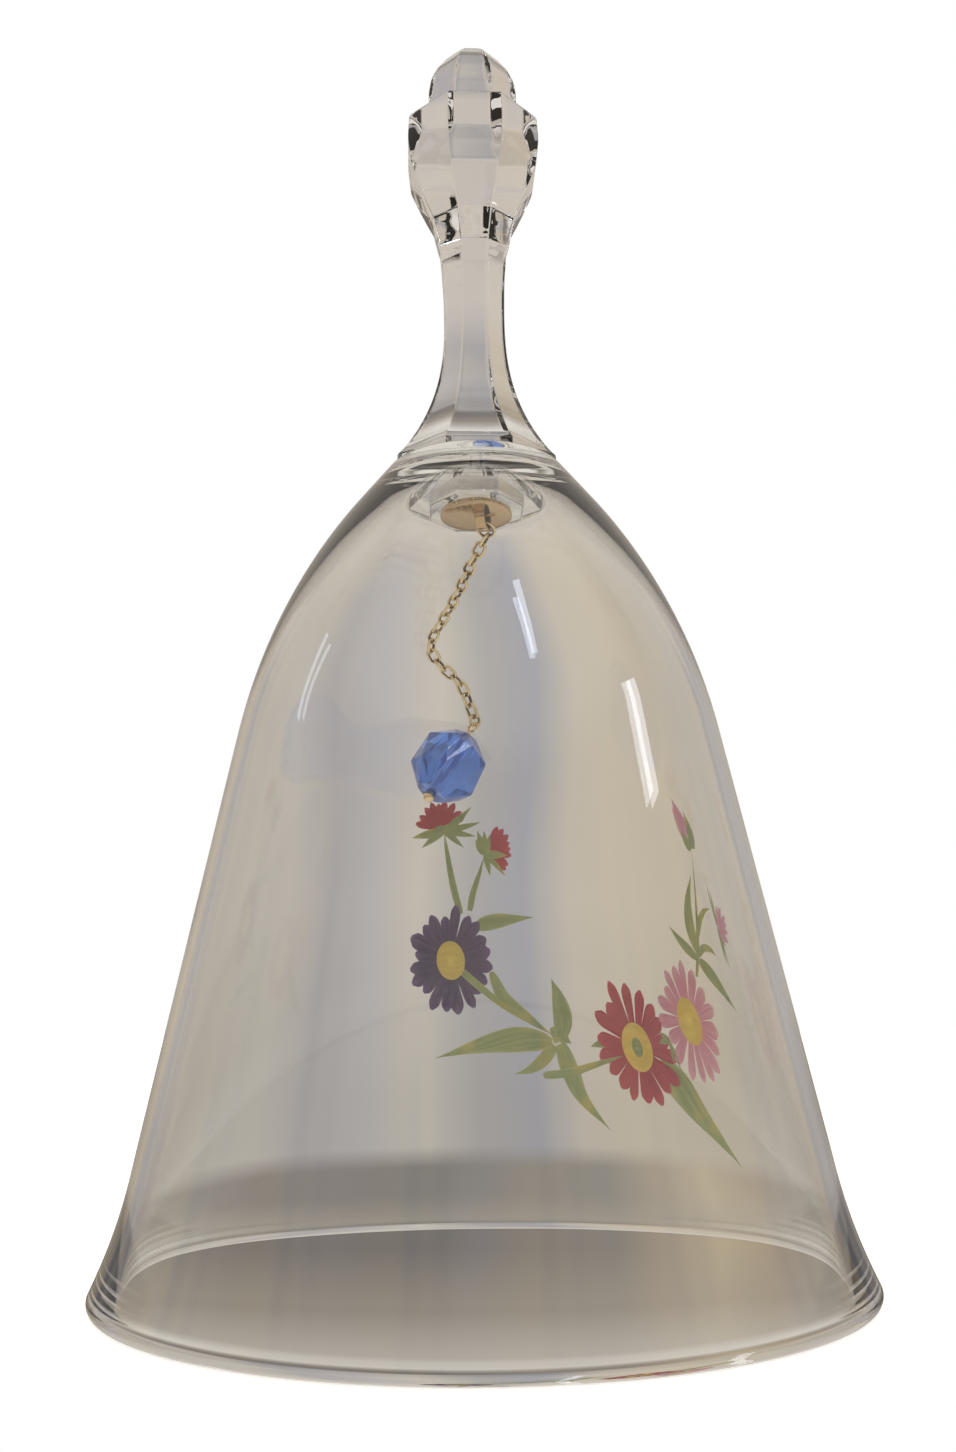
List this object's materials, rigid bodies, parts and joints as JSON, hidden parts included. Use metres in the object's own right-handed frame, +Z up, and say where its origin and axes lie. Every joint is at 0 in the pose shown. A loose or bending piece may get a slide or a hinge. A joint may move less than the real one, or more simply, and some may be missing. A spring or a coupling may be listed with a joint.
{
  "type": "glass hand bell",
  "caption": "Clear glass hand bell with an eight-sided handle, a printed flower spray and a blue glass bead clapper on a fine chain.",
  "frame": {"origin": "centre of the rim's resting face, on the bell's axis", "axes": "+Z up along the bell's axis towards the knob; +Y towards the wall on which the clapper lies and the print is; +X to the right seen from -Y"},
  "size_m": [0.0826, 0.0826, 0.1525],
  "materials": {
    "bell_glass": "clear blown soda-lime glass, fire polished, with a fired-on flower print",
    "handle_glass": "clear pressed glass, fire polished flats",
    "pad_brass": "stamped brass, polished, lacquered",
    "chain_brass": "antique gold plated wire",
    "pin_brass": "gold plated wire",
    "bead_glass": "sapphire blue glass, ground and polished flats"
  },
  "bodies": {
    "bell": {"bell_shell": "bell_glass", "handle": "handle_glass", "pad_disc": "pad_brass", "pad_loop": "pad_brass"},
    "top_ring": {"top_ring": "chain_brass"},
    "link_01": {"link_01": "chain_brass"},
    "link_02": {"link_02": "chain_brass"},
    "link_03": {"link_03": "chain_brass"},
    "link_04": {"link_04": "chain_brass"},
    "link_05": {"link_05": "chain_brass"},
    "link_06": {"link_06": "chain_brass"},
    "link_07": {"link_07": "chain_brass"},
    "link_08": {"link_08": "chain_brass"},
    "link_09": {"link_09": "chain_brass"},
    "link_10": {"link_10": "chain_brass"},
    "link_11": {"link_11": "chain_brass"},
    "link_12": {"link_12": "chain_brass"},
    "link_13": {"link_13": "chain_brass"},
    "link_14": {"link_14": "chain_brass"},
    "link_15": {"link_15": "chain_brass"},
    "link_16": {"link_16": "chain_brass"},
    "link_17": {"link_17": "chain_brass"},
    "link_18": {"link_18": "chain_brass"},
    "link_19": {"link_19": "chain_brass"},
    "link_20": {"link_20": "chain_brass"},
    "bead_ring": {"bead_ring": "chain_brass"},
    "head_pin": {"head_pin": "pin_brass"},
    "bead": {"bead": "bead_glass"}
  },
  "joints": [
    {"name": "clapper_swing", "type": "hinge", "parent": "bell", "child": "top_ring", "pos_m": [0.0008, 0, 0.0886], "axis": [0.9659, -0.2588, 0], "range_deg": [-60, 0]},
    {"name": "link_01_hinge", "type": "hinge", "parent": "top_ring", "child": "link_01", "pos_m": [0.00144, 0.00241, 0.08716], "axis": [-0.7857, 0, 0.6187], "range_deg": [0, 12]},
    {"name": "link_02_hinge", "type": "hinge", "parent": "link_01", "child": "link_02", "pos_m": [0.00069, 0.00345, 0.08621], "axis": [-0.4457, -0.7386, -0.5058], "range_deg": [0, 12]},
    {"name": "link_03_hinge", "type": "hinge", "parent": "link_02", "child": "link_03", "pos_m": [-0.00004, 0.00453, 0.08528], "axis": [-0.7598, 0.0503, 0.6483], "range_deg": [0, 12]},
    {"name": "link_04_hinge", "type": "hinge", "parent": "link_03", "child": "link_04", "pos_m": [-0.00065, 0.00575, 0.08446], "axis": [-0.5746, -0.5545, -0.6019], "range_deg": [0, 12]},
    {"name": "link_05_hinge", "type": "hinge", "parent": "link_04", "child": "link_05", "pos_m": [-0.00117, 0.00708, 0.08373], "axis": [-0.7271, 0.0837, 0.6814], "range_deg": [0, 12]},
    {"name": "link_06_hinge", "type": "hinge", "parent": "link_05", "child": "link_06", "pos_m": [-0.00167, 0.00843, 0.08304], "axis": [-0.6468, -0.5407, -0.5379], "range_deg": [0, 12]},
    {"name": "link_07_hinge", "type": "hinge", "parent": "link_06", "child": "link_07", "pos_m": [-0.0022, 0.00977, 0.08233], "axis": [-0.6309, 0.1365, 0.7638], "range_deg": [0, 12]},
    {"name": "link_08_hinge", "type": "hinge", "parent": "link_07", "child": "link_08", "pos_m": [-0.00279, 0.01107, 0.08161], "axis": [-0.7138, -0.5737, -0.4017], "range_deg": [0, 12]},
    {"name": "link_09_hinge", "type": "hinge", "parent": "link_08", "child": "link_09", "pos_m": [-0.00342, 0.01235, 0.08089], "axis": [-0.5553, 0.1901, 0.8097], "range_deg": [0, 12]},
    {"name": "link_10_hinge", "type": "hinge", "parent": "link_09", "child": "link_10", "pos_m": [-0.00407, 0.01361, 0.08015], "axis": [-0.7162, -0.6126, -0.3344], "range_deg": [0, 12]},
    {"name": "link_11_hinge", "type": "hinge", "parent": "link_10", "child": "link_11", "pos_m": [-0.00473, 0.01482, 0.07934], "axis": [-0.5514, 0.2814, 0.7853], "range_deg": [0, 12]},
    {"name": "link_12_hinge", "type": "hinge", "parent": "link_11", "child": "link_12", "pos_m": [-0.00547, 0.01591, 0.07843], "axis": [-0.6688, -0.7021, -0.2445], "range_deg": [0, 12]},
    {"name": "link_13_hinge", "type": "hinge", "parent": "link_12", "child": "link_13", "pos_m": [-0.00616, 0.01692, 0.0774], "axis": [-0.8712, 0.3373, 0.3567], "range_deg": [0, 12]},
    {"name": "link_14_hinge", "type": "hinge", "parent": "link_13", "child": "link_14", "pos_m": [-0.00623, 0.01799, 0.07621], "axis": [-0.177, -0.734, -0.6557], "range_deg": [0, 12]},
    {"name": "link_15_hinge", "type": "hinge", "parent": "link_14", "child": "link_15", "pos_m": [-0.00554, 0.01886, 0.07506], "axis": [-0.748, 0.4761, -0.4624], "range_deg": [0, 12]},
    {"name": "link_16_hinge", "type": "hinge", "parent": "link_15", "child": "link_16", "pos_m": [-0.00449, 0.01952, 0.07404], "axis": [-0.1221, -0.7751, -0.62], "range_deg": [0, 12]},
    {"name": "link_17_hinge", "type": "hinge", "parent": "link_16", "child": "link_17", "pos_m": [-0.00335, 0.0201, 0.07309], "axis": [-0.7232, 0.5423, -0.4277], "range_deg": [0, 12]},
    {"name": "link_18_hinge", "type": "hinge", "parent": "link_17", "child": "link_18", "pos_m": [-0.00228, 0.02071, 0.07207], "axis": [-0.4481, -0.7383, -0.5041], "range_deg": [0, 12]},
    {"name": "link_19_hinge", "type": "hinge", "parent": "link_18", "child": "link_19", "pos_m": [-0.00164, 0.02126, 0.07071], "axis": [-0.7859, 0.6153, -0.0614], "range_deg": [0, 12]},
    {"name": "link_20_hinge", "type": "hinge", "parent": "link_19", "child": "link_20", "pos_m": [-0.00113, 0.02177, 0.06928], "axis": [-0.531, -0.6972, -0.4817], "range_deg": [0, 12]},
    {"name": "bead_ring_hinge", "type": "hinge", "parent": "link_20", "child": "bead_ring", "pos_m": [-0.00053, 0.02227, 0.06789], "axis": [-0.6709, 0.7405, 0.0387], "range_deg": [0, 20]},
    {"name": "pin_hinge", "type": "hinge", "parent": "bead_ring", "child": "head_pin", "pos_m": [-0.00032, 0.02251, 0.06702], "axis": [-0.0677, -0.916, 0.3954], "range_deg": [0, 30]},
    {"name": "bead_spin", "type": "hinge", "parent": "head_pin", "child": "bead", "pos_m": [-0.004, 0.02008, 0.06076], "axis": [-0.4808, -0.3173, -0.8174], "continuous": true}
  ]
}
